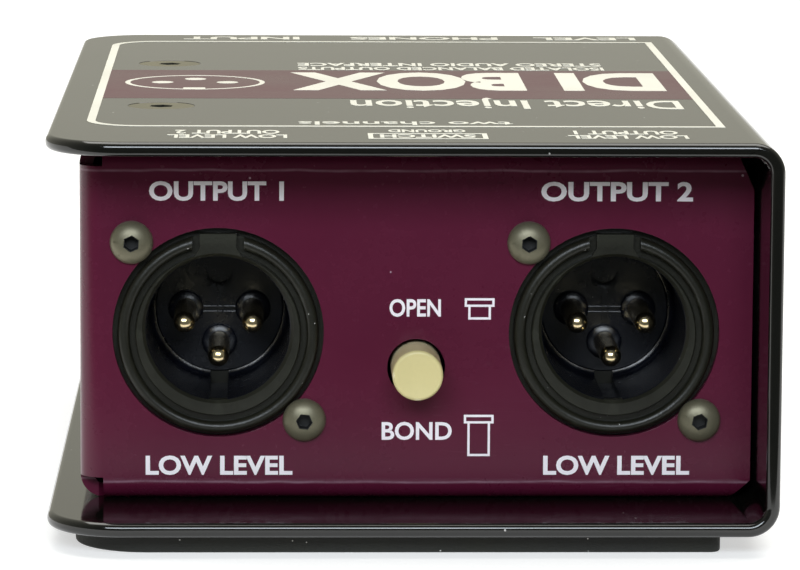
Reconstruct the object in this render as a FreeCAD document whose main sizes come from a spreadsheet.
import FreeCAD, Part
import math
import os
import re

import Sketcher

# Direct injection box: a folded steel outer shell around a folded chassis, with two balanced
# outputs and a ground-lift button at one end, and the inputs and the level control at the other.
# Frame: millimetres, +Z up, origin under the middle of the box, outputs facing -Y, spine at +X.

SIZES = [
    # alias, value, meaning
    ("shell_width", 80.0, "free edge of the plates to the outside of the spine"),
    ("shell_depth", 127.0, "length of the plates from end to end"),
    ("shell_height", 43.2, "outside height of the folded shell"),
    ("shell_wall", 1.6, "shell sheet thickness"),
    ("shell_bend", 3.4, "outside bend radius along the spine"),
    ("shell_corner", 8.5, "rounding of the plates' free corners"),
    ("pad_thick", 2.3, "thickness of the base pad"),
    ("pad_left", 3.0, "pad set back from the free edge"),
    ("pad_right", 6.1, "pad set back from the spine"),
    ("pad_end", 3.5, "pad set back from each end"),
    ("pad_corner", 8.0, "rounding of the pad's corners on the free side"),
    ("pad_square", 1.2, "rounding of the pad's corners on the spine side"),
    ("pad_margin", 1.1, "room in the pad round each bottom screw head"),
    ("panel_setback", 13.5, "end panels set back from the shell's ends"),
    ("side_setback", 3.4, "chassis side set back from the plates' free edge"),
    ("spine_gap", 0.4, "gap between the chassis and the spine"),
    ("sheet_wall", 1.5, "chassis sheet thickness"),
    ("sheet_bend", 2.6, "outside bend radius of the chassis"),
    ("flange_width", 16.0, "width of the chassis flanges"),
    ("mitre_slot", 0.6, "slot between two flanges at a corner"),
    ("corner_clear", 0.5, "room between the chassis corners and the spine bends"),
    ("corner_rake", 2.8, "extra height of the cut at the top corners by the spine"),
    ("fit_gap", 0.05, "radial room between fixed pieces, such as a screw and its hole"),
    ("run_gap", 0.08, "radial room between a moving shaft and its guide"),
    ("board_gap", 0.2, "room between a lead and its hole in the board"),
    ("shell_screw_side", 12.0, "shell screws in from the free edge"),
    ("shell_screw_front", 37.4, "front shell screws back from the output end"),
    ("shell_screw_rear", 39.9, "rear shell screws in from the input end"),
    ("shell_screw_head", 7.7, "shell screw head diameter"),
    ("shell_screw_shank", 4.0, "shell screw thread diameter"),
    ("shell_screw_length", 6.6, "shell screw length, head included"),
    ("shell_screw_key", 2.5, "shell screw socket across its flats"),
    ("shell_key_depth", 1.4, "depth of the shell screw's socket"),
    ("nut_diameter", 6.8, "clinch nut diameter"),
    ("nut_height", 2.0, "clinch nut height inside the flange"),
    ("nut_spigot", 5.4, "diameter of the clinch nut where it is pressed in"),
    ("nut_spigot_height", 1.0, "length of the clinch nut's pressed end"),
    ("xlr_spacing", 43.9, "distance between the two output connectors"),
    ("xlr_height", 20.3, "connector ring above the shell's underside"),
    ("xlr_rise", 0.65, "connector bore above its ring's centre"),
    ("xlr_ring", 22.3, "connector ring diameter in the panel"),
    ("xlr_ring_gap", 0.55, "room round the connector ring in the panel"),
    ("xlr_hole_rise", 0.2, "centre of the panel's hole above the ring's centre"),
    ("xlr_groove", 19.8, "outside diameter of the groove in the ring's face"),
    ("xlr_groove_wide", 0.8, "width of the groove"),
    ("xlr_groove_deep", 0.8, "depth of the groove"),
    ("xlr_key_wide", 4.6, "width of the block at the top of the ring"),
    ("xlr_bore", 16.1, "connector bore diameter"),
    ("xlr_bore_deep", 15.7, "depth of the bore to the insert"),
    ("xlr_flange_wide", 25.0, "connector flange width behind the panel"),
    ("xlr_flange_tall", 27.5, "connector flange height"),
    ("xlr_flange_thick", 3.0, "connector flange thickness"),
    ("xlr_barrel", 21.0, "connector barrel diameter behind its flange"),
    ("xlr_foot_wide", 12.0, "width of the connector's foot on the board"),
    ("xlr_foot_long", 9.0, "length of the connector's foot"),
    ("insert_diameter", 14.6, "insulating insert diameter"),
    ("insert_thick", 5.0, "insulating insert thickness"),
    ("collar_diameter", 4.0, "raised collar round each contact"),
    ("collar_high", 0.8, "height of the collars and ribs on the insert"),
    ("rib_wide", 1.2, "width of the insert's ribs"),
    ("pin_diameter", 2.4, "contact pin diameter"),
    ("pin_circle", 3.81, "contact pins from the connector's centre"),
    ("pin_length", 12.0, "contact pin length in front of the insert"),
    ("tail_diameter", 1.0, "solder tail diameter"),
    ("tail_reach", 2.5, "solder tails behind the insert"),
    ("tail_under", 1.5, "solder tails below the board"),
    ("tab_thick", 0.5, "ground tab thickness"),
    ("tab_wide", 2.4, "ground tab width"),
    ("xlr_screw_x", 1.6, "connector screws inside the ring's outline, sideways"),
    ("xlr_screw_z", 1.22, "connector screws inside the ring's outline, up and down"),
    ("xlr_screw_rise", 0.35, "pattern's centre above the ring's centre"),
    ("xlr_screw_head", 4.8, "connector screw head diameter"),
    ("xlr_screw_dome", 1.5, "connector screw head height"),
    ("xlr_screw_shank", 2.9, "connector screw thread diameter"),
    ("xlr_screw_length", 6.5, "connector screw length under its head"),
    ("xlr_screw_key", 1.65, "connector screw socket across its flats"),
    ("xlr_key_depth", 0.9, "depth of the connector screw's socket"),
    ("xlr_screw_room", 0.3, "diameter added to the screw's hole in the panel"),
    ("button_height", 16.6, "button axis above the shell's underside"),
    ("button_cap", 5.6, "button cap diameter"),
    ("button_gap", 0.42, "room round the cap in the panel"),
    ("button_reach", 5.7, "cap in front of its panel when it is out"),
    ("button_tail", 4.0, "cap behind the panel's face when it is out"),
    ("button_edge", 0.5, "rounding of the cap's front edge"),
    ("button_grip", 3.0, "plunger's length inside the cap"),
    ("plunger_diameter", 3.0, "plunger diameter"),
    ("plunger_enter", 6.0, "plunger's length inside the switch when it is out"),
    ("spring_wire", 0.4, "spring wire thickness across its corners"),
    ("spring_room", 0.45, "room between the plunger and the spring"),
    ("spring_turns", 6.0, "turns of the spring"),
    ("switch_set", 11.0, "switch front face behind the panel's face"),
    ("switch_long", 13.0, "switch length"),
    ("switch_wide", 9.0, "switch width"),
    ("switch_above", 4.5, "switch top above the button's axis"),
    ("lug_long", 1.2, "solder lug's reach from its part"),
    ("lug_wide", 0.8, "solder lug width"),
    ("lug_thick", 0.4, "solder lug thickness"),
    ("lug_pitch", 3.4, "distance between the solder lugs"),
    ("mono_offset", 26.3, "mono button to the right of the panel's middle"),
    ("level_offset", 11.3, "level control to the right of the panel's middle"),
    ("phones_offset", 2.6, "headphone socket to the left of the panel's middle"),
    ("usb_offset", 19.7, "computer socket to the left of the panel's middle"),
    ("knob_diameter", 13.0, "level knob diameter"),
    ("knob_long", 10.7, "level knob length"),
    ("knob_stand", 0.8, "gap between the knob and the panel"),
    ("knob_recess", 3.4, "depth of the hollow under the knob"),
    ("knob_room", 0.5, "room round the nut under the knob"),
    ("knob_edge", 0.9, "rounding of the knob's front edge"),
    ("knob_bore_deep", 5.2, "depth of the shaft's bore in the knob"),
    ("shaft_diameter", 6.0, "level control shaft diameter"),
    ("shaft_enter", 3.0, "shaft's length inside the control"),
    ("bush_diameter", 7.4, "control's threaded bush diameter"),
    ("bush_out", 3.0, "bush in front of the panel"),
    ("washer_thick", 0.5, "washer thickness"),
    ("control_nut", 9.8, "control nut across its corners"),
    ("control_nut_high", 2.0, "control nut thickness"),
    ("pot_wide", 11.0, "level control body width and height"),
    ("pot_long", 7.0, "level control body length"),
    ("pot_floor", 1.2, "wall behind the shaft's end in the control"),
    ("phones_bore", 3.6, "headphone socket bore diameter"),
    ("phones_bush", 6.0, "headphone socket bush diameter"),
    ("phones_out", 3.0, "headphone bush in front of the panel"),
    ("phones_deep", 14.5, "depth of the bore behind the panel's inner face"),
    ("phones_hollow", 4.4, "hollow in the headphone socket's body, diameter"),
    ("phones_nut", 8.4, "headphone socket nut diameter"),
    ("phones_nut_high", 1.8, "headphone socket nut thickness"),
    ("phones_wide", 7.0, "headphone socket body width"),
    ("phones_long", 16.0, "headphone socket body length"),
    ("phones_above", 3.2, "headphone socket body above its axis"),
    ("usb_wide", 12.0, "computer socket shell width"),
    ("usb_high", 11.0, "computer socket shell height"),
    ("usb_long", 16.0, "computer socket length"),
    ("usb_wall", 0.4, "computer socket shell thickness"),
    ("usb_gap", 0.4, "room round the computer socket in the panel"),
    ("usb_mouth_wide", 8.5, "computer socket opening width"),
    ("usb_mouth_high", 7.8, "computer socket opening height"),
    ("usb_chamfer", 1.7, "sloped upper corners of the opening"),
    ("usb_deep", 9.0, "depth of the opening"),
    ("usb_lip", 0.6, "tongue set back from the opening"),
    ("tongue_wide", 5.6, "computer socket tongue width"),
    ("tongue_high", 3.2, "computer socket tongue height"),
    ("strip_wide", 1.0, "contact strip width"),
    ("strip_thick", 0.15, "contact strip thickness"),
    ("strip_long", 6.5, "contact strip length"),
    ("strip_pitch", 2.5, "distance between the contact strips"),
    ("board_height", 3.8, "underside of the board above the chassis floor"),
    ("board_thick", 1.6, "circuit board thickness"),
    ("board_side", 1.0, "room between the board and the chassis"),
    ("board_front", 1.0, "room between the board and the connector flanges"),
    ("post_side", 3.6, "standoffs in from the chassis walls"),
    ("post_front", 10.5, "front standoffs behind the output panel's face"),
    ("post_rear", 7.0, "rear standoffs in from the input panel's face"),
    ("post_diameter", 5.0, "standoff diameter"),
    ("post_spigot", 3.8, "diameter of the standoff where it is pressed in"),
    ("board_screw", 2.5, "board screw thread diameter"),
    ("board_screw_head", 4.6, "board screw head diameter"),
    ("board_screw_high", 1.5, "board screw head height"),
    ("board_screw_long", 4.4, "board screw length under its head"),
    ("board_screw_slot", 0.7, "board screw slot width"),
    ("coil_forward", 2.0, "transformers in front of the middle of the box"),
    ("core_wide", 20.0, "transformer core width"),
    ("core_deep", 8.0, "transformer core stack thickness"),
    ("core_high", 17.0, "transformer core height"),
    ("core_leg", 3.0, "outer leg and yoke width"),
    ("core_middle", 5.0, "middle leg width"),
    ("bobbin_wall", 0.8, "bobbin wall thickness"),
    ("bobbin_reach", 4.0, "bobbin ends in front of and behind the core"),
    ("coil_inset", 0.6, "winding inside the bobbin's ends"),
    ("coil_pin", 0.7, "transformer pin width"),
    ("coil_pin_pitch", 9.0, "distance between the transformer pins"),
    ("chip_lead", 0.9, "chip leads' reach"),
    ("codec_wide", 7.4, "audio chip width"),
    ("codec_long", 10.2, "audio chip length"),
    ("codec_high", 2.2, "audio chip height"),
    ("link_wide", 7.0, "interface chip width and length"),
    ("link_high", 1.4, "interface chip height"),
    ("crystal_wide", 4.4, "crystal can width"),
    ("crystal_long", 11.0, "crystal can length"),
    ("crystal_high", 3.6, "crystal can height"),
    ("can_diameter", 6.3, "capacitor diameter"),
    ("can_high", 7.7, "capacitor height"),
    ("can_pitch", 10.0, "distance between the capacitors"),
    ("can_edge", 0.6, "rounding of the capacitor's rim"),
    ("chip_part_long", 2.0, "chip resistor length"),
    ("chip_part_wide", 1.25, "chip resistor width"),
    ("chip_part_high", 0.6, "chip resistor height"),
    ("chip_part_pitch", 4.0, "distance between the chip resistors"),
]
ALIASES = {alias for alias, value, meaning in SIZES}

doc = FreeCAD.newDocument("direct_injection_box")
sheet = doc.addObject("Spreadsheet::Sheet", "Sizes")
for row, (alias, value, meaning) in enumerate(SIZES, start=1):
    sheet.set(f"A{row}", meaning)
    sheet.set(f"B{row}", str(value))
    sheet.setAlias(f"B{row}", alias)
doc.recompute()

# Faces and centre lines that the pieces share, each worked out from the sheet.
FRONT = "(-shell_depth / 2)"
REAR = "(shell_depth / 2)"
LEFT = "(-shell_width / 2)"
RIGHT = "(shell_width / 2)"
UNDER = "(pad_thick)"
TOP = "(pad_thick + shell_height)"
FLOOR = "(pad_thick + shell_wall)"
CEILING = "(pad_thick + shell_height - shell_wall)"
PANEL = f"({FRONT} + panel_setback)"
BACK = f"({REAR} - panel_setback)"
SIDE = f"({LEFT} + side_setback)"
EDGE = f"({RIGHT} - shell_wall - spine_gap)"
MIDDLE = f"(({SIDE} + {EDGE}) / 2)"
BOARD_LOW = f"({FLOOR} + sheet_wall + board_height)"
BOARD_TOP = f"({BOARD_LOW} + board_thick)"
XLR_Z = "(pad_thick + xlr_height)"
BUTTON_Z = "(pad_thick + button_height)"
OUTWARD_FRONT = FreeCAD.Rotation(FreeCAD.Vector(1, 0, 0), 90)
OUTWARD_REAR = FreeCAD.Rotation(FreeCAD.Vector(1, 0, 0), -90)
UPWARD = FreeCAD.Rotation()
DOWNWARD = FreeCAD.Rotation(FreeCAD.Vector(1, 0, 0), 180)
ALONG = {"y": OUTWARD_REAR, "z": UPWARD}
CUTS = []
NODES = []


def linked(text):
    """The expression with each alias pointed at the sheet."""
    return re.sub(r"[a-z_]+", lambda m: f"Sizes.{m[0]}" if m[0] in ALIASES else m[0], text)


def number(text):
    """The value of an expression at the sheet's present sizes."""
    return float(sheet.evalExpression(linked(text)))


def bind(thing, **rules):
    for path, text in rules.items():
        thing.setExpression(path.replace("__", "."), linked(text))


def place(thing, x, y, z):
    bind(thing, Placement__Base__x=x, Placement__Base__y=y, Placement__Base__z=z)


def shift(text, amount):
    return f"({text} + ({amount}))"


def about(centre, width):
    """The two ends of a width set evenly about a centre."""
    return f"({centre} - ({width}) / 2)", f"({centre} + ({width}) / 2)"


def behind(face, inward, start, end):
    """The ends of a stretch measured inward from a panel's face, lowest first."""
    if inward > 0:
        return f"({face} + ({start}))", f"({face} + ({end}))"
    return f"({face} - ({end}))", f"({face} - ({start}))"


def box(name, x, y, z):
    block = doc.addObject("Part::Box", name)
    bind(block, Length=f"{x[1]} - {x[0]}", Width=f"{y[1]} - {y[0]}", Height=f"{z[1]} - {z[0]}")
    place(block, x[0], y[0], z[0])
    return block


def rod(name, axis, start, radius, length):
    """A cylinder from its start point along y or z."""
    cylinder = doc.addObject("Part::Cylinder", name)
    cylinder.Placement = FreeCAD.Placement(FreeCAD.Vector(), ALONG[axis])
    bind(cylinder, Radius=radius, Height=length)
    place(cylinder, *start)
    return cylinder


def rod_y(name, x, span, z, radius):
    return rod(name, "y", (x, span[0], z), radius, f"{span[1]} - {span[0]}")


def rod_z(name, x, y, span, radius):
    return rod(name, "z", (x, y, span[0]), radius, f"{span[1]} - {span[0]}")


def fuse(name, *pieces):
    joined = doc.addObject("Part::MultiFuse", name)
    joined.Shapes = list(pieces)
    joined.Refine = True
    return joined


def cut(name, blank, *tools):
    """The blank less every tool, noted so that the final check sees that it lost material."""
    result = doc.addObject("Part::Cut", name)
    result.Base = blank
    result.Tool = tools[0] if len(tools) == 1 else fuse(f"{name}_tools", *tools)
    result.Refine = True
    CUTS.append((result, blank))
    return result


def group(name, pieces):
    """Equal pieces in one node, each its own solid."""
    collection = doc.addObject("Part::Compound", name)
    collection.Links = list(pieces)
    return collection


def node(thing):
    """Marks a finished piece: its label is its node's name."""
    NODES.append(thing)
    return thing


def origin_plane(body, role):
    return next(item for item in body.Origin.OriginFeatures if item.Role == role)


def pin_point(sketch, element, point, x, y):
    """Holds a sketch point at two expressions measured from the sketch's origin."""
    for kind, text in (("DistanceX", x), ("DistanceY", y)):
        index = sketch.addConstraint(Sketcher.Constraint(kind, -1, 1, element, point, number(text)))
        sketch.setExpression(f"Constraints[{index}]", linked(text))


def draw(sketch, outline):
    """Draws a closed outline. A corner is (x, y), or (x, y, radius) where it is rounded."""
    corners = [FreeCAD.Vector(number(c[0]), number(c[1]), 0) for c in outline]
    count = len(outline)
    entry, leave, arcs = [], [], {}
    for i, corner in enumerate(corners):
        before = (corners[i - 1] - corner).normalize()
        after = (corners[(i + 1) % count] - corner).normalize()
        if len(outline[i]) == 2:
            entry.append(corner)
            leave.append(corner)
            continue
        radius = number(outline[i][2])
        half = before.getAngle(after) / 2
        entry.append(corner + before * (radius / math.tan(half)))
        leave.append(corner + after * (radius / math.tan(half)))
        centre = corner + (before + after).normalize() * (radius / math.sin(half))
        arcs[i] = (centre, radius, before.cross(after).z < 0)
    for i in range(count):
        sketch.addGeometry(Part.LineSegment(leave[i], entry[(i + 1) % count]), False)
    for i, corner in enumerate(corners):
        incoming, outgoing = (i - 1) % count, i
        if i not in arcs:
            sketch.addConstraint(Sketcher.Constraint("Coincident", incoming, 2, outgoing, 1))
            pin_point(sketch, outgoing, 1, outline[i][0], outline[i][1])
            continue
        centre, radius, convex = arcs[i]
        first, last = (entry[i], leave[i]) if convex else (leave[i], entry[i])
        circle = Part.Circle(centre, FreeCAD.Vector(0, 0, 1), radius)
        sweep = Part.ArcOfCircle(circle, circle.parameter(first), circle.parameter(last))
        arc = sketch.addGeometry(sweep, False)
        mark = sketch.addGeometry(Part.Point(corner), True)
        start, end = (1, 2) if convex else (2, 1)
        sketch.addConstraint(Sketcher.Constraint("Tangent", incoming, 2, arc, start))
        sketch.addConstraint(Sketcher.Constraint("Tangent", arc, end, outgoing, 1))
        sketch.addConstraint(Sketcher.Constraint("PointOnObject", mark, 1, incoming))
        sketch.addConstraint(Sketcher.Constraint("PointOnObject", mark, 1, outgoing))
        pin_point(sketch, mark, 1, outline[i][0], outline[i][1])
        index = sketch.addConstraint(Sketcher.Constraint("Radius", arc, radius))
        sketch.setExpression(f"Constraints[{index}]", linked(outline[i][2]))


def sketch_on(body, name, role, offset, outline):
    """A sketch parallel to one of the body's own planes, at a place along that plane's axis."""
    sketch = body.newObject("Sketcher::SketchObject", name)
    sketch.AttachmentSupport = [(origin_plane(body, role), "")]
    sketch.MapMode = "FlatFace"
    sign = "-" if role == "XZ_Plane" else ""
    sketch.setExpression("AttachmentOffset.Base.z", linked(f"{sign}({offset})"))
    draw(sketch, outline)
    return sketch


def pad(body, name, role, span, outline):
    """Adds the outline's prism between the two ends of the span."""
    middle = f"({span[0]} + {span[1]}) / 2"
    feature = body.newObject("PartDesign::Pad", name)
    feature.Profile = sketch_on(body, f"{name}_outline", role, middle, outline)
    feature.SideType = "Symmetric"
    bind(feature, Length=f"{span[1]} - {span[0]}")
    return feature


def pocket(body, name, role, span, outline):
    """Takes the outline's prism away between the two ends of the span."""
    doc.recompute()
    base = body.Tip
    middle = f"({span[0]} + {span[1]}) / 2"
    feature = body.newObject("PartDesign::Pocket", name)
    feature.Profile = sketch_on(body, f"{name}_outline", role, middle, outline)
    feature.SideType = "Symmetric"
    bind(feature, Length=f"{span[1]} - {span[0]}")
    CUTS.append((feature, base))
    return feature


def prism(name, role, span, outline):
    body = doc.addObject("PartDesign::Body", name)
    pad(body, f"{name}_pad", role, span, outline)
    return body


def turned(name, x, y, z, facing, profile):
    """A body turned about its own axis. The profile's corners are (radius, height, rounding)."""
    body = doc.addObject("PartDesign::Body", name)
    feature = body.newObject("PartDesign::Revolution", f"{name}_turn")
    feature.Profile = sketch_on(body, f"{name}_profile", "XZ_Plane", "0", profile)
    feature.ReferenceAxis = (feature.Profile[0], ["V_Axis"])
    body.Placement = FreeCAD.Placement(FreeCAD.Vector(), facing)
    place(body, x, y, z)
    return body


def hexagon(across):
    """Outline of a hexagon from its size across the flats."""
    turns = [math.radians(60 * step) for step in range(6)]
    reach = f"({across}) / {2 * math.cos(math.pi / 6):.6f}"
    return [(f"{reach} * {math.cos(a):.6f}", f"{reach} * {math.sin(a):.6f}") for a in turns]


def socket_screw(name, x, y, z, facing, profile, key, depth):
    """A turned screw with a hexagon socket, its head's face at the top of its own axis."""
    screw = turned(name, x, y, z, facing, profile)
    face = profile[0][1]
    span = (f"({face} - {depth})", f"({face} + {depth})")
    pocket(screw, f"{name}_socket", "XY_Plane", span, hexagon(key))
    return screw


def outer_shell():
    """The folded cover: top plate, spine and bottom plate from one sheet."""
    inner = "shell_bend - shell_wall"
    outline = [
        (LEFT, UNDER),
        (RIGHT, UNDER, "shell_bend"),
        (RIGHT, TOP, "shell_bend"),
        (LEFT, TOP),
        (LEFT, CEILING),
        (f"{RIGHT} - shell_wall", CEILING, inner),
        (f"{RIGHT} - shell_wall", FLOOR, inner),
        (LEFT, FLOOR),
    ]
    folded = prism("shell_folded", "XZ_Plane", (FRONT, REAR), outline)
    plan = [
        (LEFT, FRONT, "shell_corner"),
        (shift(RIGHT, "shell_wall"), FRONT),
        (shift(RIGHT, "shell_wall"), REAR),
        (LEFT, REAR, "shell_corner"),
    ]
    trim = prism("shell_plan", "XY_Plane", ("0", f"{TOP} + shell_wall"), plan)
    rounded = doc.addObject("Part::Common", "shell_rounded")
    rounded.Base = folded
    rounded.Tool = trim
    tools = [tool for spot in SHELL_SCREWS for tool in screw_seat(*spot)]
    return node(cut("outer_shell", rounded, *tools))


SHELL_SCREW_X = shift(LEFT, "shell_screw_side")
SHELL_SCREWS = [
    ("top_front", f"({FRONT} + shell_screw_front)", 1),
    ("top_rear", f"({REAR} - shell_screw_rear)", 1),
    ("bottom_front", f"({FRONT} + shell_screw_front)", -1),
    ("bottom_rear", f"({REAR} - shell_screw_rear)", -1),
]
SCREW_CONE = "((shell_screw_head - shell_screw_shank) / 2)"


def screw_face(up):
    return TOP if up > 0 else UNDER


def inward_span(face, up, start, end):
    """A vertical stretch measured into the shell from its top or bottom face."""
    if up > 0:
        return f"({face} - ({end}))", f"({face} - ({start}))"
    return f"({face} + ({start}))", f"({face} + ({end}))"


def screw_seat(name, y, up):
    """The countersunk hole of one shell screw."""
    face = screw_face(up)
    cone = doc.addObject("Part::Cone", f"seat_{name}")
    cone.Placement = FreeCAD.Placement(FreeCAD.Vector(), DOWNWARD if up > 0 else UPWARD)
    bind(cone, Radius1="shell_screw_head / 2 + fit_gap", Radius2="shell_screw_shank / 2 + fit_gap")
    bind(cone, Height=SCREW_CONE)
    place(cone, SHELL_SCREW_X, y, face)
    span = inward_span(face, up, "-shell_wall", "shell_wall * 2")
    return cone, rod_z(f"seat_hole_{name}", SHELL_SCREW_X, y, span, "shell_screw_shank / 2 + fit_gap")


def shell_screws():
    """Countersunk screws through the plates, and the clinch nuts in the chassis flanges."""
    screws = {1: [], -1: []}
    nuts = []
    profile = [
        ("0", "0"),
        ("shell_screw_head / 2", "0"),
        ("shell_screw_shank / 2", f"-{SCREW_CONE}"),
        ("shell_screw_shank / 2", "-shell_screw_length"),
        ("0", "-shell_screw_length"),
    ]
    nut = [
        ("shell_screw_shank / 2 + fit_gap", "0"),
        ("nut_spigot / 2", "0"),
        ("nut_spigot / 2", "-nut_spigot_height"),
        ("nut_diameter / 2", "-nut_spigot_height"),
        ("nut_diameter / 2", "-nut_spigot_height - nut_height"),
        ("shell_screw_shank / 2 + fit_gap", "-nut_spigot_height - nut_height"),
    ]
    x = SHELL_SCREW_X
    for name, y, up in SHELL_SCREWS:
        facing = UPWARD if up > 0 else DOWNWARD
        face = screw_face(up)
        key = ("shell_screw_key", "shell_key_depth")
        screws[up].append(socket_screw(f"shell_screw_{name}", x, y, face, facing, profile, *key))
        seat = inward_span(face, up, "0", "shell_wall + sheet_wall - nut_spigot_height")
        nuts.append(turned(f"clinch_nut_{name}", x, y, seat[0] if up > 0 else seat[1], facing, nut))
    node(group("shell_screws_top", screws[1]))
    node(group("shell_screws_bottom", screws[-1]))
    node(group("clinch_nuts", nuts))


def base_pad():
    """The pad under the bottom plate, open round the two bottom screws."""
    low, high = shift(LEFT, "pad_left"), f"({RIGHT} - pad_right)"
    near, far = shift(FRONT, "pad_end"), f"({REAR} - pad_end)"
    outline = [
        (low, near, "pad_corner"),
        (high, near, "pad_square"),
        (high, far, "pad_square"),
        (low, far, "pad_corner"),
    ]
    sheet_pad = prism("pad_sheet", "XY_Plane", ("0", UNDER), outline)
    radius = "shell_screw_head / 2 + pad_margin"
    span = ("(-pad_thick)", "(pad_thick * 2)")
    holes = [
        rod_z(f"pad_hole_{name}", SHELL_SCREW_X, y, span, radius) for name, y, up in SHELL_SCREWS if up < 0
    ]
    return node(cut("base_pad", sheet_pad, *holes))


def channel(face, inward, low, high):
    """A flanged wall's section, standing on the first sketch axis at its outer face."""
    step = "+" if inward > 0 else "-"
    tip = f"({face} {step} flange_width)"
    inner = f"({face} {step} sheet_wall)"
    corners = [
        (tip, low),
        (face, low, "sheet_bend"),
        (face, high, "sheet_bend"),
        (tip, high),
        (tip, f"({high} - sheet_wall)"),
        (inner, f"({high} - sheet_wall)", "sheet_bend - sheet_wall"),
        (inner, f"({low} + sheet_wall)", "sheet_bend - sheet_wall"),
        (tip, f"({low} + sheet_wall)"),
    ]
    return corners if inward < 0 else corners[::-1]


def chassis_corner(face, inward):
    """The bend between the side wall and an end wall, in plan."""
    step = "+" if inward > 0 else "-"
    leg = "(sheet_bend + sheet_wall)"
    corners = [
        (f"{SIDE} + {leg}", face),
        (SIDE, face, "sheet_bend"),
        (SIDE, f"{face} {step} {leg}"),
        (f"{SIDE} + sheet_wall", f"{face} {step} {leg}"),
        (f"{SIDE} + sheet_wall", f"{face} {step} sheet_wall", "sheet_bend - sheet_wall"),
        (f"{SIDE} + {leg}", f"{face} {step} sheet_wall"),
    ]
    return corners if inward < 0 else corners[::-1]


def mitre(face, inward):
    """The slot between an end flange and the side flange, in plan."""
    step = "+" if inward > 0 else "-"
    start = "(sheet_bend - mitre_slot)"
    corners = [
        (f"{SIDE} + {start}", f"{face} {step} {start}"),
        (f"{SIDE} + {start} + mitre_slot", f"{face} {step} {start}"),
        (f"{SIDE} + flange_width + mitre_slot", f"{face} {step} flange_width"),
        (f"{SIDE} + flange_width + mitre_slot", f"{face} {step} (flange_width + mitre_slot)"),
        (f"{SIDE} + flange_width", f"{face} {step} (flange_width + mitre_slot)"),
        (f"{SIDE} + {start}", f"{face} {step} ({start} + mitre_slot)"),
    ]
    return corners if inward > 0 else corners[::-1]


def chassis_blank():
    """The folded chassis before its holes: two end walls and a side wall, all flanged."""
    body = doc.addObject("PartDesign::Body", "chassis_blank")
    along = (f"({SIDE} + sheet_bend)", EDGE)
    pad(body, "chassis_front", "YZ_Plane", along, channel(PANEL, 1, FLOOR, CEILING))
    pad(body, "chassis_rear", "YZ_Plane", along, channel(BACK, -1, FLOOR, CEILING))
    across = (f"({PANEL} + sheet_bend)", f"({BACK} - sheet_bend)")
    pad(body, "chassis_side", "XZ_Plane", across, channel(SIDE, 1, FLOOR, CEILING))
    height = (f"({FLOOR} + sheet_bend)", f"({CEILING} - sheet_bend)")
    pad(body, "corner_front", "XY_Plane", height, chassis_corner(PANEL, 1))
    pad(body, "corner_rear", "XY_Plane", height, chassis_corner(BACK, -1))
    for name, face, inward in (("front", PANEL, 1), ("rear", BACK, -1)):
        low = (f"({FLOOR} - fit_gap)", f"({FLOOR} + sheet_wall + fit_gap)")
        high = (f"({CEILING} - sheet_wall - fit_gap)", f"({CEILING} + fit_gap)")
        pocket(body, f"mitre_low_{name}", "XY_Plane", low, mitre(face, inward))
        pocket(body, f"mitre_high_{name}", "XY_Plane", high, mitre(face, inward))
    width = "(shell_bend - shell_wall + corner_clear)"
    through = (PANEL, BACK)
    past = shift(EDGE, "shell_wall")
    over, under = shift(CEILING, "shell_wall"), f"({FLOOR} - shell_wall)"
    top_cut = [
        (f"{EDGE} - {width}", over),
        (f"{EDGE} - {width}", CEILING),
        (EDGE, f"{CEILING} - {width} - corner_rake"),
        (past, f"{CEILING} - {width} - corner_rake"),
        (past, over),
    ]
    low_cut = [
        (f"{EDGE} - {width}", under),
        (past, under),
        (past, f"{FLOOR} + {width}"),
        (EDGE, f"{FLOOR} + {width}"),
        (f"{EDGE} - {width}", FLOOR),
    ]
    pocket(body, "corner_cut_top", "XZ_Plane", through, top_cut)
    pocket(body, "corner_cut_low", "XZ_Plane", through, low_cut)
    return body


XLRS = [("left", f"({MIDDLE} - xlr_spacing / 2)"), ("right", f"({MIDDLE} + xlr_spacing / 2)")]
LIFT_X = MIDDLE
MONO_X = f"({MIDDLE} + mono_offset)"
LEVEL_X = f"({MIDDLE} + level_offset)"
PHONES_X = f"({MIDDLE} - phones_offset)"
USB_X = f"({MIDDLE} - usb_offset)"
USB_LOW = BOARD_TOP
USB_HIGH = f"({BOARD_TOP} + usb_high)"
POSTS = [
    ("front_left", f"({SIDE} + sheet_wall + post_side)", f"({PANEL} + post_front)"),
    ("front_right", f"({EDGE} - sheet_wall - post_side)", f"({PANEL} + post_front)"),
    ("rear_left", f"({SIDE} + sheet_wall + post_side)", f"({BACK} - post_rear)"),
    ("rear_right", f"({EDGE} - sheet_wall - post_side)", f"({BACK} - post_rear)"),
]


def xlr_screw_spots(x):
    """The two screws of a connector: upper left and lower right."""
    centre = f"({XLR_Z} + xlr_screw_rise)"
    across, rise = "(xlr_ring / 2 - xlr_screw_x)", "(xlr_ring / 2 - xlr_screw_z)"
    return [
        ("upper", f"({x} - {across})", f"({centre} + {rise})"),
        ("lower", f"({x} + {across})", f"({centre} - {rise})"),
    ]


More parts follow.
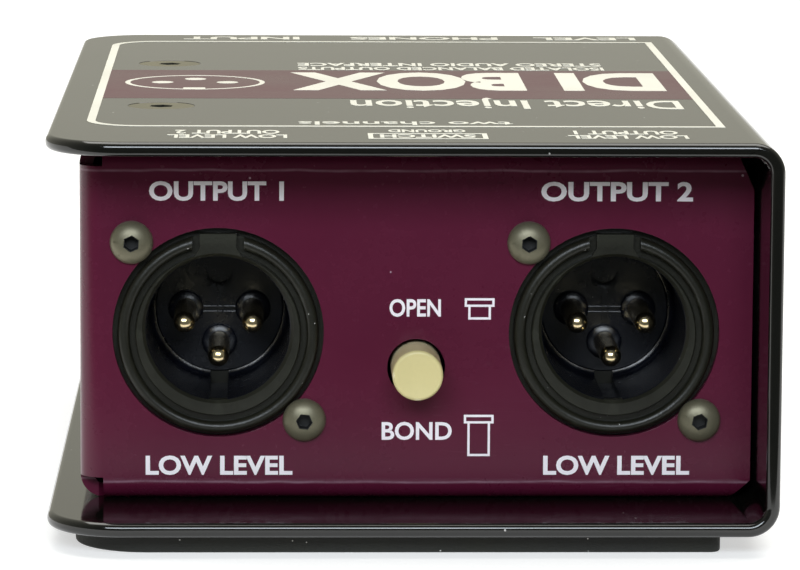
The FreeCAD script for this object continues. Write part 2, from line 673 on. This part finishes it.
def chassis():
    tools = []
    front = behind(PANEL, 1, "-sheet_wall", "sheet_wall * 2")
    rear = behind(BACK, -1, "-sheet_wall", "sheet_wall * 2")
    for side, x in XLRS:
        hole_z = f"({XLR_Z} + xlr_hole_rise)"
        tools.append(rod_y(f"panel_ring_{side}", x, front, hole_z, "xlr_ring / 2 + xlr_ring_gap"))
        for spot, sx, sz in xlr_screw_spots(x):
            radius = "(xlr_screw_shank + xlr_screw_room) / 2"
            tools.append(rod_y(f"panel_screw_{side}_{spot}", sx, front, sz, radius))
    button = "button_cap / 2 + button_gap"
    tools.append(rod_y("panel_lift", LIFT_X, front, BUTTON_Z, button))
    tools.append(rod_y("panel_mono", MONO_X, rear, BUTTON_Z, button))
    tools.append(rod_y("panel_level", LEVEL_X, rear, BUTTON_Z, "bush_diameter / 2 + fit_gap"))
    tools.append(rod_y("panel_phones", PHONES_X, rear, BUTTON_Z, "phones_bush / 2 + fit_gap"))
    usb_z = (f"({USB_LOW} - usb_gap)", f"({USB_HIGH} + usb_gap)")
    tools.append(box("panel_usb", about(USB_X, "usb_wide + usb_gap * 2"), rear, usb_z))
    for name, y, up in SHELL_SCREWS:
        span = inward_span(screw_face(up), up, "0", "shell_wall + sheet_wall * 2")
        tools.append(rod_z(f"flange_nut_{name}", SHELL_SCREW_X, y, span, "nut_spigot / 2 + fit_gap"))
    for name, x, y in POSTS:
        span = (UNDER, f"({FLOOR} + sheet_wall * 2)")
        tools.append(rod_z(f"flange_post_{name}", x, y, span, "post_spigot / 2 + fit_gap"))
    return node(cut("chassis", chassis_blank(), *tools))


def xlr_pin_spots(x):
    """The three contacts of a male connector: two level with its centre and one below."""
    centre = f"({XLR_Z} + xlr_rise)"
    return [
        ("one", f"({x} - pin_circle)", centre),
        ("two", f"({x} + pin_circle)", centre),
        ("three", x, f"({centre} - pin_circle)"),
    ]


TAIL_Y = f"({PANEL} + xlr_bore_deep + insert_thick + tail_reach)"
XLR_END = "(xlr_bore_deep + insert_thick)"


def xlr_housing(side, x):
    """The moulded connector body: flange, ring, barrel and the foot on the board."""
    centre = f"({XLR_Z} + xlr_rise)"
    flange_y = behind(PANEL, 1, "sheet_wall", "sheet_wall + xlr_flange_thick")
    flange_z = about(f"({XLR_Z} + xlr_screw_rise)", "xlr_flange_tall")
    flange = box(f"xlr_{side}_flange", about(x, "xlr_flange_wide"), flange_y, flange_z)
    ring = rod_y(f"xlr_{side}_ring", x, behind(PANEL, 1, "0", "sheet_wall * 2"), XLR_Z, "xlr_ring / 2")
    barrel_y = behind(PANEL, 1, "sheet_wall * 2", XLR_END)
    barrel = rod_y(f"xlr_{side}_barrel", x, barrel_y, XLR_Z, "xlr_barrel / 2")
    foot_y = behind(PANEL, 1, f"{XLR_END} - xlr_foot_long", XLR_END)
    foot = box(f"xlr_{side}_foot", about(x, "xlr_foot_wide"), foot_y, (BOARD_TOP, XLR_Z))
    solid = fuse(f"xlr_{side}_solid", flange, ring, barrel, foot)
    bore = rod_y(f"xlr_{side}_bore", x, behind(PANEL, 1, "-1", "xlr_bore_deep"), centre, "xlr_bore / 2")
    seat_y = behind(PANEL, 1, "xlr_bore_deep - fit_gap", f"{XLR_END} + fit_gap")
    seat = rod_y(f"xlr_{side}_seat", x, seat_y, centre, "insert_diameter / 2 + fit_gap")
    groove_y = behind(PANEL, 1, "-xlr_groove_deep", "xlr_groove_deep")
    outer = rod_y(f"xlr_{side}_groove_out", x, groove_y, XLR_Z, "xlr_groove / 2")
    inner = rod_y(f"xlr_{side}_groove_in", x, groove_y, XLR_Z, "xlr_groove / 2 - xlr_groove_wide")
    top_z = (XLR_Z, f"({XLR_Z} + xlr_ring / 2)")
    key = box(f"xlr_{side}_key", about(x, "xlr_key_wide"), groove_y, top_z)
    groove = cut(f"xlr_{side}_groove", outer, inner, key)
    screws = [
        rod_y(f"xlr_{side}_pilot_{spot}", sx, flange_y, sz, "xlr_screw_shank / 2 + fit_gap")
        for spot, sx, sz in xlr_screw_spots(x)
    ]
    return node(cut(f"xlr_{side}_housing", solid, bore, seat, groove, *screws))


def xlr_insert(side, x):
    """The insulating disc that holds the contacts, with collars and ribs between them."""
    centre = f"({XLR_Z} + xlr_rise)"
    disc_y = behind(PANEL, 1, "xlr_bore_deep", XLR_END)
    disc = rod_y(f"xlr_{side}_disc", x, disc_y, centre, "insert_diameter / 2")
    raised_y = behind(PANEL, 1, "xlr_bore_deep - collar_high", "xlr_bore_deep + collar_high")
    spots = xlr_pin_spots(x)
    collars = [
        rod_y(f"xlr_{side}_collar_{name}", px, raised_y, pz, "collar_diameter / 2") for name, px, pz in spots
    ]
    level_z = about(f"({centre})", "rib_wide")
    level = box(f"xlr_{side}_rib_level", about(x, "pin_circle * 2"), raised_y, level_z)
    upright_z = (f"({centre} - pin_circle)", centre)
    upright = box(f"xlr_{side}_rib_upright", about(x, "rib_wide"), raised_y, upright_z)
    solid = fuse(f"xlr_{side}_insert_solid", disc, level, upright, *collars)
    through = behind(PANEL, 1, "xlr_bore_deep - collar_high * 2", f"{XLR_END} + 1")
    holes = [
        rod_y(f"xlr_{side}_hole_{name}", px, through, pz, "pin_diameter / 2 + fit_gap / 2")
        for name, px, pz in spots
    ]
    return node(cut(f"xlr_{side}_insert", solid, *holes))


def ball(name, x, y, z, radius):
    sphere = doc.addObject("Part::Sphere", name)
    bind(sphere, Radius=radius)
    place(sphere, x, y, z)
    return sphere


def xlr_pins(side, x):
    """Round-nosed contacts, each with a solder tail bent down through the board."""
    pins = []
    for name, px, pz in xlr_pin_spots(x):
        nose = f"({PANEL} + xlr_bore_deep - pin_length + pin_diameter / 2)"
        back = f"({PANEL} + {XLR_END})"
        shank = rod_y(f"xlr_{side}_shank_{name}", px, (nose, back), pz, "pin_diameter / 2")
        tip = ball(f"xlr_{side}_tip_{name}", px, nose, pz, "pin_diameter / 2")
        tail = rod_y(f"xlr_{side}_tail_{name}", px, (back, TAIL_Y), pz, "tail_diameter / 2")
        elbow = ball(f"xlr_{side}_elbow_{name}", px, TAIL_Y, pz, "tail_diameter / 2")
        leg_z = (f"({BOARD_LOW} - tail_under)", pz)
        leg = rod_z(f"xlr_{side}_leg_{name}", px, TAIL_Y, leg_z, "tail_diameter / 2")
        pins.append(fuse(f"xlr_{side}_pin_{name}", shank, tip, tail, elbow, leg))
    return node(group(f"xlr_{side}_pins", pins))


def tab_x(x):
    low = f"({x} - xlr_barrel / 2 - tab_thick - fit_gap)"
    return low, f"({low} + tab_thick)"


def tab_y():
    end = f"({PANEL} + {XLR_END})"
    return f"({end} - tab_wide)", end


def xlr_ground_tab(side, x):
    """The strip that joins the connector's flange to the board's ground."""
    strip_y = behind(PANEL, 1, "sheet_wall + xlr_flange_thick", XLR_END)
    strip = box(f"xlr_{side}_tab_strip", tab_x(x), strip_y, about(XLR_Z, "tab_wide"))
    leg = box(f"xlr_{side}_tab_leg", tab_x(x), tab_y(), (f"({BOARD_LOW} - tail_under)", XLR_Z))
    return node(fuse(f"xlr_{side}_ground_tab", strip, leg))


def xlr_screws(side, x):
    profile = [
        ("0", "xlr_screw_dome"),
        ("xlr_screw_head / 2", "xlr_screw_dome", "xlr_screw_dome * 0.9"),
        ("xlr_screw_head / 2", "0"),
        ("xlr_screw_shank / 2", "0"),
        ("xlr_screw_shank / 2", "-xlr_screw_length"),
        ("0", "-xlr_screw_length"),
    ]
    key = ("xlr_screw_key", "xlr_key_depth")
    screws = [
        socket_screw(f"xlr_{side}_screw_{spot}", sx, PANEL, sz, OUTWARD_FRONT, profile, *key)
        for spot, sx, sz in xlr_screw_spots(x)
    ]
    return node(group(f"xlr_{side}_screws", screws))


def push_switch(name, x, face, inward):
    """A push switch with its cap, plunger, return spring and solder lugs."""
    facing = OUTWARD_FRONT if inward > 0 else OUTWARD_REAR
    front = behind(face, inward, "-button_reach", "-button_reach")[0]
    length = "(button_reach + button_tail)"
    bore = "plunger_diameter / 2 + fit_gap / 2"
    profile = [
        ("0", "0"),
        ("button_cap / 2", "0", "button_edge"),
        ("button_cap / 2", f"-{length}"),
        (bore, f"-{length}"),
        (bore, f"-{length} + button_grip"),
        ("0", f"-{length} + button_grip"),
    ]
    node(turned(f"{name}_button", x, front, BUTTON_Z, facing, profile))
    run = behind(face, inward, "button_tail - button_grip", "switch_set + plunger_enter")
    node(rod_y(f"{name}_plunger", x, run, BUTTON_Z, "plunger_diameter / 2"))

    body_y = behind(face, inward, "switch_set", "switch_set + switch_long")
    body_z = (BOARD_TOP, f"({BUTTON_Z} + switch_above)")
    block = box(f"{name}_block", about(x, "switch_wide"), body_y, body_z)
    guide_y = behind(face, inward, "switch_set - 1", "switch_set + switch_long - pot_floor")
    guide = rod_y(f"{name}_guide", x, guide_y, BUTTON_Z, "plunger_diameter / 2 + run_gap")
    node(cut(f"{name}_switch_body", block, guide))

    helix = doc.addObject("Part::Helix", f"{name}_helix")
    gap = "(switch_set - button_tail - spring_wire)"
    coil = "(plunger_diameter / 2 + spring_room + spring_wire / 2)"
    bind(helix, Radius=coil, Height=gap, Pitch=f"{gap} / spring_turns")
    wire = doc.addObject("Part::RegularPolygon", f"{name}_wire")
    wire.Polygon = 8
    wire.Placement = FreeCAD.Placement(FreeCAD.Vector(), OUTWARD_FRONT)
    bind(wire, Circumradius="spring_wire / 2", Placement__Base__x=coil)
    spring = doc.addObject("Part::Sweep", f"{name}_spring")
    spring.Sections = [wire]
    spring.Spine = (helix, [])
    spring.Solid = True
    spring.Frenet = True
    spring.Placement = FreeCAD.Placement(FreeCAD.Vector(), OUTWARD_REAR if inward > 0 else OUTWARD_FRONT)
    start = behind(face, inward, "button_tail + spring_wire / 2", "button_tail + spring_wire / 2")[0]
    place(spring, x, start, BUTTON_Z)
    node(spring)

    lugs = []
    for step in (-1, 0, 1):
        middle = f"({body_y[0]} + switch_long / 2 + ({step}) * lug_pitch)"
        for hand, sign in (("left", -1), ("right", 1)):
            edge = f"({x} + ({sign}) * switch_wide / 2)"
            span = (edge, f"({edge} + lug_long)") if sign > 0 else (f"({edge} - lug_long)", edge)
            lug_z = (BOARD_TOP, f"({BOARD_TOP} + lug_thick)")
            lugs.append(box(f"{name}_lug_{hand}_{step + 1}", span, about(middle, "lug_wide"), lug_z))
    node(group(f"{name}_terminals", lugs))


def level_control():
    """The level control behind the input panel, with its bush, nut, shaft and knob."""
    face, inward = BACK, -1
    out = "(washer_thick + control_nut_high)"
    knob = [
        ("control_nut / 2 + knob_room", "0"),
        ("knob_diameter / 2", "0"),
        ("knob_diameter / 2", "knob_long", "knob_edge"),
        ("0", "knob_long"),
        ("0", "knob_recess + knob_bore_deep"),
        ("shaft_diameter / 2 + fit_gap / 2", "knob_recess + knob_bore_deep"),
        ("shaft_diameter / 2 + fit_gap / 2", "knob_recess"),
        ("control_nut / 2 + knob_room", "knob_recess"),
    ]
    node(turned("level_knob", LEVEL_X, f"{BACK} + knob_stand", BUTTON_Z, OUTWARD_REAR, knob))
    tip = "knob_stand + knob_recess + knob_bore_deep"
    run = behind(face, inward, f"-({tip})", "sheet_wall + shaft_enter")
    node(rod_y("level_shaft", LEVEL_X, run, BUTTON_Z, "shaft_diameter / 2"))

    bush_y = behind(face, inward, "-bush_out", "sheet_wall")
    bush = rod_y("bush_solid", LEVEL_X, bush_y, BUTTON_Z, "bush_diameter / 2")
    long_y = behind(face, inward, "-bush_out - 1", "sheet_wall + 1")
    hole = rod_y("bush_bore", LEVEL_X, long_y, BUTTON_Z, "shaft_diameter / 2 + run_gap")
    node(cut("control_bush", bush, hole))

    washer_y = behind(face, inward, "-washer_thick", "0")
    disc = rod_y("washer_disc", LEVEL_X, washer_y, BUTTON_Z, "control_nut / 2")
    inner = rod_y("washer_hole", LEVEL_X, long_y, BUTTON_Z, "bush_diameter / 2 + fit_gap")
    node(cut("control_washer", disc, inner))

    nut = doc.addObject("PartDesign::Body", "control_nut_blank")
    across = f"control_nut * {math.cos(math.pi / 6):.6f}"
    pad(nut, "control_nut_pad", "XY_Plane", ("washer_thick", out), hexagon(across))
    nut.Placement = FreeCAD.Placement(FreeCAD.Vector(), OUTWARD_REAR)
    place(nut, LEVEL_X, BACK, BUTTON_Z)
    thread = rod_y("control_nut_bore", LEVEL_X, long_y, BUTTON_Z, "bush_diameter / 2 + fit_gap")
    node(cut("control_nut", nut, thread))

    body_y = behind(face, inward, "sheet_wall", "sheet_wall + pot_long")
    block = box("pot_block", about(LEVEL_X, "pot_wide"), body_y, about(BUTTON_Z, "pot_wide"))
    cavity_y = behind(face, inward, "sheet_wall - 1", "sheet_wall + pot_long - pot_floor")
    cavity = rod_y("pot_cavity", LEVEL_X, cavity_y, BUTTON_Z, "shaft_diameter / 2 + run_gap")
    node(cut("control_body", block, cavity))
    legs = []
    for step in (-1, 0, 1):
        middle = f"({LEVEL_X} + ({step}) * lug_pitch)"
        leg_z = (BOARD_TOP, f"({BUTTON_Z} - pot_wide / 2)")
        leg_y = behind(face, inward, "sheet_wall + pot_long - lug_thick", "sheet_wall + pot_long")
        legs.append(box(f"control_leg_{step + 1}", about(middle, "lug_wide"), leg_y, leg_z))
    node(group("control_terminals", legs))


def phones_socket():
    """The headphone socket: bush and nut in the panel, body and contacts behind it."""
    face, inward = BACK, -1
    bush_y = behind(face, inward, "-phones_out", "sheet_wall")
    bush = rod_y("phones_bush_solid", PHONES_X, bush_y, BUTTON_Z, "phones_bush / 2")
    bore_y = behind(face, inward, "-phones_out - 1", "sheet_wall + phones_deep")
    bore = rod_y("phones_bush_bore", PHONES_X, bore_y, BUTTON_Z, "phones_bore / 2")
    node(cut("phones_bush", bush, bore))
    nut_y = behind(face, inward, "-phones_nut_high", "0")
    disc = rod_y("phones_nut_disc", PHONES_X, nut_y, BUTTON_Z, "phones_nut / 2")
    thread = rod_y("phones_nut_thread", PHONES_X, bore_y, BUTTON_Z, "phones_bush / 2 + fit_gap")
    node(cut("phones_nut", disc, thread))
    body_y = behind(face, inward, "sheet_wall", "sheet_wall + phones_long")
    body_z = (BOARD_TOP, f"({BUTTON_Z} + phones_above)")
    block = box("phones_block", about(PHONES_X, "phones_wide"), body_y, body_z)
    deep = rod_y("phones_body_bore", PHONES_X, bore_y, BUTTON_Z, "phones_hollow / 2")
    node(cut("phones_body", block, deep))
    contacts = []
    for step in (-1, 0, 1):
        middle = f"({body_y[0]} + phones_long / 2 + ({step}) * lug_pitch)"
        for hand, sign in (("left", -1), ("right", 1)):
            edge = f"({PHONES_X} + ({sign}) * phones_wide / 2)"
            near = (edge, f"({edge} + lug_thick)") if sign > 0 else (f"({edge} - lug_thick)", edge)
            name = f"phones_contact_{hand}_{step + 1}"
            contacts.append(box(name, near, about(middle, "lug_wide"), (BOARD_TOP, BUTTON_Z)))
    node(group("phones_contacts", contacts))


def usb_socket():
    """The square computer socket: a metal shell round a housing with a tongue."""
    face, inward = BACK, -1
    shell_y = behind(face, inward, "0", "usb_long")
    long_y = behind(face, inward, "-1", "usb_long + 1")
    whole = box("usb_outside", about(USB_X, "usb_wide"), shell_y, (USB_LOW, USB_HIGH))
    inside_z = (f"({USB_LOW} + usb_wall)", f"({USB_HIGH} - usb_wall)")
    inside = box("usb_inside", about(USB_X, "usb_wide - usb_wall * 2"), long_y, inside_z)
    node(cut("usb_shell", whole, inside))

    block = box("usb_block", about(USB_X, "usb_wide - usb_wall * 2"), shell_y, inside_z)
    centre = f"(({USB_LOW} + {USB_HIGH}) / 2)"
    low, high = about(centre, "usb_mouth_high")
    left, right = about(USB_X, "usb_mouth_wide")
    mouth = [
        (left, low),
        (right, low),
        (right, f"{high} - usb_chamfer"),
        (f"{right} - usb_chamfer", high),
        (f"{left} + usb_chamfer", high),
        (left, f"{high} - usb_chamfer"),
    ]
    opening = prism("usb_mouth", "XZ_Plane", behind(face, inward, "-1", "usb_deep"), mouth)
    tongue_y = behind(face, inward, "usb_lip", "usb_deep")
    tongue = box("usb_tongue_block", about(USB_X, "tongue_wide"), tongue_y, about(centre, "tongue_high"))
    hollow = cut("usb_hollow", opening, tongue)
    node(cut("usb_housing", block, hollow))

    strips = []
    strip_y = behind(face, inward, "usb_lip * 2", "usb_lip * 2 + strip_long")
    for row, sign in (("upper", 1), ("lower", -1)):
        edge = f"({centre} + ({sign}) * tongue_high / 2)"
        span = (edge, f"({edge} + strip_thick)") if sign > 0 else (f"({edge} - strip_thick)", edge)
        for hand, step in (("left", -1), ("right", 1)):
            middle = f"({USB_X} + ({step}) * strip_pitch / 2)"
            strips.append(box(f"usb_strip_{row}_{hand}", about(middle, "strip_wide"), strip_y, span))
    node(group("usb_contacts", strips))


def circuit_board():
    """The board on its four standoffs, drilled for the connector tails and clear of the connector screws."""
    x = (f"({SIDE} + sheet_wall + board_side)", f"({EDGE} - board_side)")
    y = (f"({PANEL} + sheet_wall + xlr_flange_thick + board_front)", f"({BACK} - sheet_wall - board_side)")
    blank = box("board_blank", x, y, (BOARD_LOW, BOARD_TOP))
    through = (f"({BOARD_LOW} - 1)", f"({BOARD_TOP} + 1)")
    tools = []
    for side, sx in XLRS:
        for name, px, _ in xlr_pin_spots(sx):
            radius = "tail_diameter / 2 + board_gap"
            tools.append(rod_z(f"board_pin_{side}_{name}", px, TAIL_Y, through, radius))
        low, high = tab_x(sx)
        near, far = tab_y()
        slot_x = (f"({low} - board_gap)", f"({high} + board_gap)")
        slot_y = (f"({near} - board_gap)", f"({far} + board_gap)")
        tools.append(box(f"board_slot_{side}", slot_x, slot_y, through))
        for spot, px, pz in xlr_screw_spots(sx):
            reach = behind(PANEL, 1, "0", "xlr_screw_length + board_gap")
            relief = "xlr_screw_shank / 2 + board_gap"
            tools.append(rod_y(f"board_relief_{side}_{spot}", px, reach, pz, relief))
    for name, px, py in POSTS:
        tools.append(rod_z(f"board_post_{name}", px, py, through, "board_screw / 2 + board_gap"))
    node(cut("circuit_board", blank, *tools))

    standoff = [
        ("board_screw / 2 + fit_gap", "0"),
        ("post_spigot / 2", "0"),
        ("post_spigot / 2", "sheet_wall"),
        ("post_diameter / 2", "sheet_wall"),
        ("post_diameter / 2", f"{BOARD_LOW} - {FLOOR}"),
        ("board_screw / 2 + fit_gap", f"{BOARD_LOW} - {FLOOR}"),
    ]
    posts = [turned(f"post_{name}", px, py, FLOOR, UPWARD, standoff) for name, px, py in POSTS]
    node(group("board_standoffs", posts))
    screw = [
        ("0", "board_screw_high"),
        ("board_screw_head / 2", "board_screw_high", "board_screw_high * 0.7"),
        ("board_screw_head / 2", "0"),
        ("board_screw / 2", "0"),
        ("board_screw / 2", "-board_screw_long"),
        ("0", "-board_screw_long"),
    ]
    screws = []
    for name, px, py in POSTS:
        body = turned(f"board_screw_{name}", px, py, BOARD_TOP, UPWARD, screw)
        slot_z = (f"({BOARD_TOP} + board_screw_high / 2)", f"({BOARD_TOP} + board_screw_high * 2)")
        slot_y = about(py, "board_screw_head * 2")
        slot = box(f"board_slot_{name}", about(px, "board_screw_slot"), slot_y, slot_z)
        screws.append(cut(f"board_screw_slotted_{name}", body, slot))
    node(group("board_screws", screws))


def transformer(side, x):
    """An isolating transformer: laminated core, bobbin, winding and pins."""
    y = "(-coil_forward)"
    low, high = BOARD_TOP, f"({BOARD_TOP} + core_high)"
    window_z = (f"({low} + core_leg)", f"({high} - core_leg)")
    stack = box(f"core_{side}_stack", about(x, "core_wide"), about(y, "core_deep"), (low, high))
    deep = about(y, "core_deep * 2")
    windows = []
    for hand, sign in (("left", -1), ("right", 1)):
        near = f"({x} + ({sign}) * core_middle / 2)"
        far = f"({x} + ({sign}) * (core_wide / 2 - core_leg))"
        span = (near, far) if sign > 0 else (far, near)
        windows.append(box(f"core_{side}_window_{hand}", span, deep, window_z))
    node(cut(f"transformer_{side}_core", stack, *windows))

    bobbin_z = (f"({window_z[0]} + fit_gap)", f"({window_z[1]} - fit_gap)")
    hole_x = about(x, "core_middle + fit_gap * 2")
    hole_y = about(y, "core_deep + fit_gap * 2")
    tube_x = about(x, "core_middle + fit_gap * 2 + bobbin_wall * 2")
    tube_y = about(y, "core_deep + fit_gap * 2 + bobbin_wall * 2")
    cheek_x = about(x, "core_wide - core_leg * 2 - fit_gap * 2")
    cheek_y = about(y, "core_deep + bobbin_reach * 2")
    tube = box(f"bobbin_{side}_tube", tube_x, tube_y, bobbin_z)
    lower = (bobbin_z[0], f"({bobbin_z[0]} + bobbin_wall)")
    upper = (f"({bobbin_z[1]} - bobbin_wall)", bobbin_z[1])
    ends = (("lower", lower), ("upper", upper))
    cheeks = [box(f"bobbin_{side}_{end}", cheek_x, cheek_y, span) for end, span in ends]
    solid = fuse(f"bobbin_{side}_solid", tube, *cheeks)
    hole = box(f"bobbin_{side}_hole", hole_x, hole_y, (low, high))
    node(cut(f"transformer_{side}_bobbin", solid, hole))

    coil_z = (f"({lower[1]} + fit_gap)", f"({upper[0]} - fit_gap)")
    coil_x = about(x, "core_wide - core_leg * 2 - fit_gap * 2 - coil_inset * 2")
    coil_y = about(y, "core_deep + bobbin_reach * 2 - coil_inset * 2")
    wound = box(f"coil_{side}_wound", coil_x, coil_y, coil_z)
    tube_hole_x = about(x, "core_middle + fit_gap * 4 + bobbin_wall * 2")
    tube_hole_y = about(y, "core_deep + fit_gap * 4 + bobbin_wall * 2")
    inner = box(f"coil_{side}_hole", tube_hole_x, tube_hole_y, (low, high))
    node(cut(f"transformer_{side}_winding", wound, inner))

    pins = []
    for row, sign in (("front", -1), ("rear", 1)):
        py = f"({y} + ({sign}) * (core_deep / 2 + bobbin_reach - coil_pin))"
        for hand, step in (("left", -1), ("right", 1)):
            px = about(f"({x} + ({step}) * coil_pin_pitch / 2)", "coil_pin")
            pins.append(box(f"coil_{side}_pin_{row}_{hand}", px, about(py, "coil_pin"), (low, lower[0])))
    node(group(f"transformer_{side}_pins", pins))


def chip(name, x, y, width, length, high, leads):
    """A moulded chip with rows of leads along its two long sides."""
    body_z = (f"({BOARD_TOP} + lug_thick / 2)", f"({BOARD_TOP} + {high})")
    pieces = [box(f"{name}_body", about(x, width), about(y, length), body_z)]
    for step in range(leads):
        place_y = f"({y} + ({step} - ({leads} - 1) / 2) * ({length}) / {leads})"
        span_x = about(x, f"{width} + chip_lead * 2")
        span_z = (BOARD_TOP, f"({BOARD_TOP} + lug_thick)")
        pieces.append(box(f"{name}_lead_{step}", span_x, about(place_y, f"({length}) / {leads * 2}"), span_z))
    return node(fuse(name, *pieces))


def small_parts():
    """The chips, the crystal, the capacitors and the chip resistors on the board."""
    chip("codec_chip", MIDDLE, "(-coil_forward)", "codec_wide", "codec_long", "codec_high", 8)
    link_y = f"({BACK} - usb_long - link_wide * 1.3)"
    chip("link_chip", USB_X, link_y, "link_wide", "link_wide", "link_high", 7)
    crystal_x = about(f"({USB_X} + link_wide + crystal_wide)", "crystal_wide")
    crystal_z = (BOARD_TOP, f"({BOARD_TOP} + crystal_high)")
    node(box("clock_crystal", crystal_x, about(link_y, "crystal_long"), crystal_z))
    can = [
        ("0", "0"),
        ("can_diameter / 2", "0"),
        ("can_diameter / 2", "can_high", "can_edge"),
        ("0", "can_high"),
    ]
    row_y = f"({FRONT} / 2 + can_pitch)"
    cans = []
    for step in range(6):
        cx = f"({MIDDLE} + ({step} - 2.5) * can_pitch)"
        cans.append(turned(f"can_{step}", cx, row_y, BOARD_TOP, UPWARD, can))
    node(group("electrolytic_capacitors", cans))
    resistors = []
    for row in range(2):
        for step in range(8):
            rx = f"({MIDDLE} + ({step} - 3.5) * chip_part_pitch)"
            ry = f"(core_deep / 2 + bobbin_reach + chip_part_pitch * ({row} + 1))"
            span_z = (BOARD_TOP, f"({BOARD_TOP} + chip_part_high)")
            name = f"resistor_{row}_{step}"
            resistors.append(box(name, about(rx, "chip_part_wide"), about(ry, "chip_part_long"), span_z))
    node(group("chip_resistors", resistors))


def check_document():
    """Stops the build if anything failed, came out empty or cut nothing."""
    faulty = [item.Name for item in doc.Objects if {"Invalid", "Error"} & set(item.State)]
    if faulty:
        raise RuntimeError(f"these did not build: {faulty}")
    for piece in NODES:
        if piece.Shape.isNull() or not piece.Shape.isValid() or not piece.Shape.Solids:
            raise RuntimeError(f"{piece.Label} has no sound shape")
    for feature, base in CUTS:
        if feature.Shape.Volume >= base.Shape.Volume:
            raise RuntimeError(f"{feature.Label} takes nothing away")


outer_shell()
base_pad()
shell_screws()
chassis()
for side_name, centre_x in XLRS:
    xlr_housing(side_name, centre_x)
    xlr_insert(side_name, centre_x)
    xlr_pins(side_name, centre_x)
    xlr_ground_tab(side_name, centre_x)
    xlr_screws(side_name, centre_x)
push_switch("lift", LIFT_X, PANEL, 1)
push_switch("mono", MONO_X, BACK, -1)
level_control()
phones_socket()
usb_socket()
circuit_board()
for side_name, centre_x in XLRS:
    transformer(side_name, centre_x)
small_parts()
doc.recompute()
check_document()

os.makedirs("parts", exist_ok=True)
for piece in NODES:
    piece.Shape.exportStep(f"parts/{piece.Label}.step")
